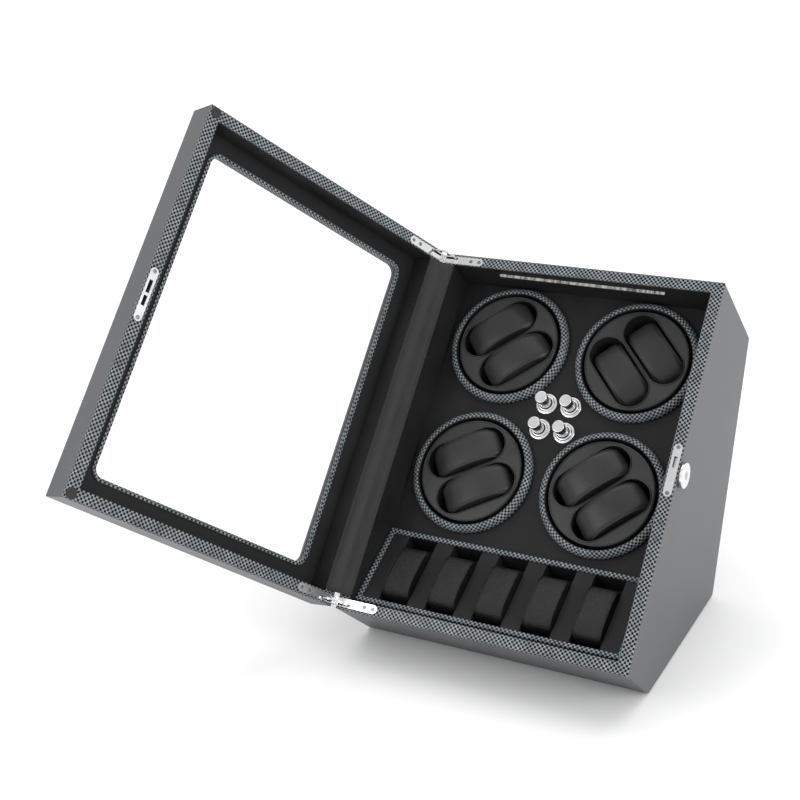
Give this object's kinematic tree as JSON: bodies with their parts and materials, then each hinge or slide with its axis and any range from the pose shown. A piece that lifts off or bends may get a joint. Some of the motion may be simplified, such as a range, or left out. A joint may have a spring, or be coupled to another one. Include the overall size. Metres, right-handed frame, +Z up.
{
  "type": "watch winder box",
  "caption": "Sloped-front watch winder box with rotating pillow cups, a storage tray, selector knobs and a side-hinged glass door, shown open.",
  "frame": {"origin": "middle of the underside of the base pad", "axes": "+Z up, +X to the right seen from the front, -Y towards the user"},
  "size_m": [0.4991, 0.5961, 0.5597],
  "materials": {
    "leatherette": "satin carbon-look weave",
    "carbon_trim": "gloss checker weave",
    "lining": "matte",
    "pillow_leather": "satin grain",
    "gusset_leather": "matte",
    "rotor_plastic": "satin",
    "chrome": "polished",
    "steel": "brushed",
    "silver_plastic": "satin",
    "black_plastic": "matte",
    "clear_pane": "clear",
    "rubber": "matte",
    "felt": "felt",
    "board_green": "satin"
  },
  "bodies": {
    "case": {"side_panel_left": "leatherette", "side_panel_right": "leatherette", "top_panel": "leatherette", "back_panel": "leatherette", "base_panel": "leatherette", "lower_front_panel": "leatherette", "base_pad": "felt", "front_rim": "carbon_trim", "cavity_lining": "lining", "led_strip": "silver_plastic", "rotor_panel": "lining", "ring_bezels": "carbon_trim", "motor_plate": "black_plastic", "gear_motors": "steel", "knob_escutcheons": "chrome", "control_board": "board_green", "tray_rim": "carbon_trim", "tray_insert": "lining", "rear_cover": "black_plastic", "dc_jack": "black_plastic", "lock_plate": "chrome", "lock_case": "steel", "lock_escutcheon": "chrome", "hinge_leaves_case": "chrome", "hinge_pins": "chrome", "case_screws": "chrome", "hinge_gusset": "gusset_leather"},
    "door": {"door_frame": "leatherette", "door_rim": "carbon_trim", "door_lining": "lining", "door_glass": "clear_pane", "glass_trim": "carbon_trim", "door_bumpers": "rubber", "strike_plate": "chrome", "hinge_leaves_door": "chrome", "door_screws": "chrome"},
    "hinge_stays": {"hinge_stays": "chrome"},
    "lock_bolt": {"lock_bolt": "steel"},
    "lock_cylinder": {"lock_cylinder": "steel"},
    "rotor_1": {"rotor_1": "rotor_plastic"},
    "rotor_pillow_1a": {"rotor_pillow_1a": "pillow_leather"},
    "rotor_pillow_1b": {"rotor_pillow_1b": "pillow_leather"},
    "rotor_2": {"rotor_2": "rotor_plastic"},
    "rotor_pillow_2a": {"rotor_pillow_2a": "pillow_leather"},
    "rotor_pillow_2b": {"rotor_pillow_2b": "pillow_leather"},
    "rotor_3": {"rotor_3": "rotor_plastic"},
    "rotor_pillow_3a": {"rotor_pillow_3a": "pillow_leather"},
    "rotor_pillow_3b": {"rotor_pillow_3b": "pillow_leather"},
    "rotor_4": {"rotor_4": "rotor_plastic"},
    "rotor_pillow_4a": {"rotor_pillow_4a": "pillow_leather"},
    "rotor_pillow_4b": {"rotor_pillow_4b": "pillow_leather"},
    "knob_1": {"knob_1": "chrome"},
    "knob_2": {"knob_2": "chrome"},
    "knob_3": {"knob_3": "chrome"},
    "knob_4": {"knob_4": "chrome"},
    "tray_pillow_1": {"tray_pillow_1": "pillow_leather"},
    "tray_pillow_2": {"tray_pillow_2": "pillow_leather"},
    "tray_pillow_3": {"tray_pillow_3": "pillow_leather"},
    "tray_pillow_4": {"tray_pillow_4": "pillow_leather"},
    "tray_pillow_5": {"tray_pillow_5": "pillow_leather"}
  },
  "joints": [
    {"name": "door_swing", "type": "hinge", "parent": "case", "child": "door", "pos_m": [-0.1627, -0.02722, 0.21043], "axis": [0, 0.6775, 0.7355], "range_deg": [0, 115.4], "deforming": ["hinge_gusset"]},
    {"name": "stay_swing", "type": "hinge", "parent": "case", "child": "hinge_stays", "pos_m": [-0.1627, -0.02722, 0.21043], "axis": [0, 0.6775, 0.7355], "range_deg": [0, 57.7]},
    {"name": "key_turn", "type": "hinge", "parent": "case", "child": "lock_cylinder", "pos_m": [0.1542, -0.01708, 0.20122], "axis": [1, 0, 0], "range_deg": [0, 90]},
    {"name": "bolt_slide", "type": "slide", "parent": "case", "child": "lock_bolt", "axis": [0, -0.7355, 0.6775], "range_m": [0, 0.00848]},
    {"name": "rotor_1_spin", "type": "hinge", "parent": "case", "child": "rotor_1", "pos_m": [-0.0743, 0.08679, 0.27413], "axis": [0, -0.7355, 0.6775], "continuous": true},
    {"name": "rotor_pillow_1a_pull", "type": "slide", "parent": "rotor_1", "child": "rotor_pillow_1a", "axis": [0, -0.7355, 0.6775], "range_m": [0, 0.055]},
    {"name": "rotor_pillow_1b_pull", "type": "slide", "parent": "rotor_1", "child": "rotor_pillow_1b", "axis": [0, -0.7355, 0.6775], "range_m": [0, 0.055]},
    {"name": "rotor_2_spin", "type": "hinge", "parent": "case", "child": "rotor_2", "pos_m": [0.0743, 0.08679, 0.27413], "axis": [0, -0.7355, 0.6775], "continuous": true},
    {"name": "rotor_pillow_2a_pull", "type": "slide", "parent": "rotor_2", "child": "rotor_pillow_2a", "axis": [0, -0.7355, 0.6775], "range_m": [0, 0.055]},
    {"name": "rotor_pillow_2b_pull", "type": "slide", "parent": "rotor_2", "child": "rotor_pillow_2b", "axis": [0, -0.7355, 0.6775], "range_m": [0, 0.055]},
    {"name": "rotor_3_spin", "type": "hinge", "parent": "case", "child": "rotor_3", "pos_m": [-0.0743, -0.01443, 0.16425], "axis": [0, -0.7355, 0.6775], "continuous": true},
    {"name": "rotor_pillow_3a_pull", "type": "slide", "parent": "rotor_3", "child": "rotor_pillow_3a", "axis": [0, -0.7355, 0.6775], "range_m": [0, 0.055]},
    {"name": "rotor_pillow_3b_pull", "type": "slide", "parent": "rotor_3", "child": "rotor_pillow_3b", "axis": [0, -0.7355, 0.6775], "range_m": [0, 0.055]},
    {"name": "rotor_4_spin", "type": "hinge", "parent": "case", "child": "rotor_4", "pos_m": [0.0743, -0.01443, 0.16425], "axis": [0, -0.7355, 0.6775], "continuous": true},
    {"name": "rotor_pillow_4a_pull", "type": "slide", "parent": "rotor_4", "child": "rotor_pillow_4a", "axis": [0, -0.7355, 0.6775], "range_m": [0, 0.055]},
    {"name": "rotor_pillow_4b_pull", "type": "slide", "parent": "rotor_4", "child": "rotor_pillow_4b", "axis": [0, -0.7355, 0.6775], "range_m": [0, 0.055]},
    {"name": "knob_1_turn", "type": "hinge", "parent": "case", "child": "knob_1", "pos_m": [-0.014, 0.03621, 0.23915], "axis": [0, -0.7355, 0.6775], "range_deg": [-135, 135]},
    {"name": "knob_2_turn", "type": "hinge", "parent": "case", "child": "knob_2", "pos_m": [0.014, 0.03621, 0.23915], "axis": [0, -0.7355, 0.6775], "range_deg": [-135, 135]},
    {"name": "knob_3_turn", "type": "hinge", "parent": "case", "child": "knob_3", "pos_m": [-0.014, 0.01629, 0.21752], "axis": [0, -0.7355, 0.6775], "range_deg": [-135, 135]},
    {"name": "knob_4_turn", "type": "hinge", "parent": "case", "child": "knob_4", "pos_m": [0.014, 0.01629, 0.21752], "axis": [0, -0.7355, 0.6775], "range_deg": [-135, 135]},
    {"name": "tray_pillow_1_pull", "type": "slide", "parent": "case", "child": "tray_pillow_1", "axis": [0, -0.447, 0.8945], "range_m": [0, 0.035]},
    {"name": "tray_pillow_2_pull", "type": "slide", "parent": "case", "child": "tray_pillow_2", "axis": [0, -0.447, 0.8945], "range_m": [0, 0.035]},
    {"name": "tray_pillow_3_pull", "type": "slide", "parent": "case", "child": "tray_pillow_3", "axis": [0, -0.447, 0.8945], "range_m": [0, 0.035]},
    {"name": "tray_pillow_4_pull", "type": "slide", "parent": "case", "child": "tray_pillow_4", "axis": [0, -0.447, 0.8945], "range_m": [0, 0.035]},
    {"name": "tray_pillow_5_pull", "type": "slide", "parent": "case", "child": "tray_pillow_5", "axis": [0, -0.447, 0.8945], "range_m": [0, 0.035]}
  ],
  "couplings": [
    {"joint": "stay_swing", "follows": "door_swing", "ratio": 0.5},
    {"joint": "key_turn", "follows": "bolt_slide", "rad_per_m": 185.19}
  ]
}
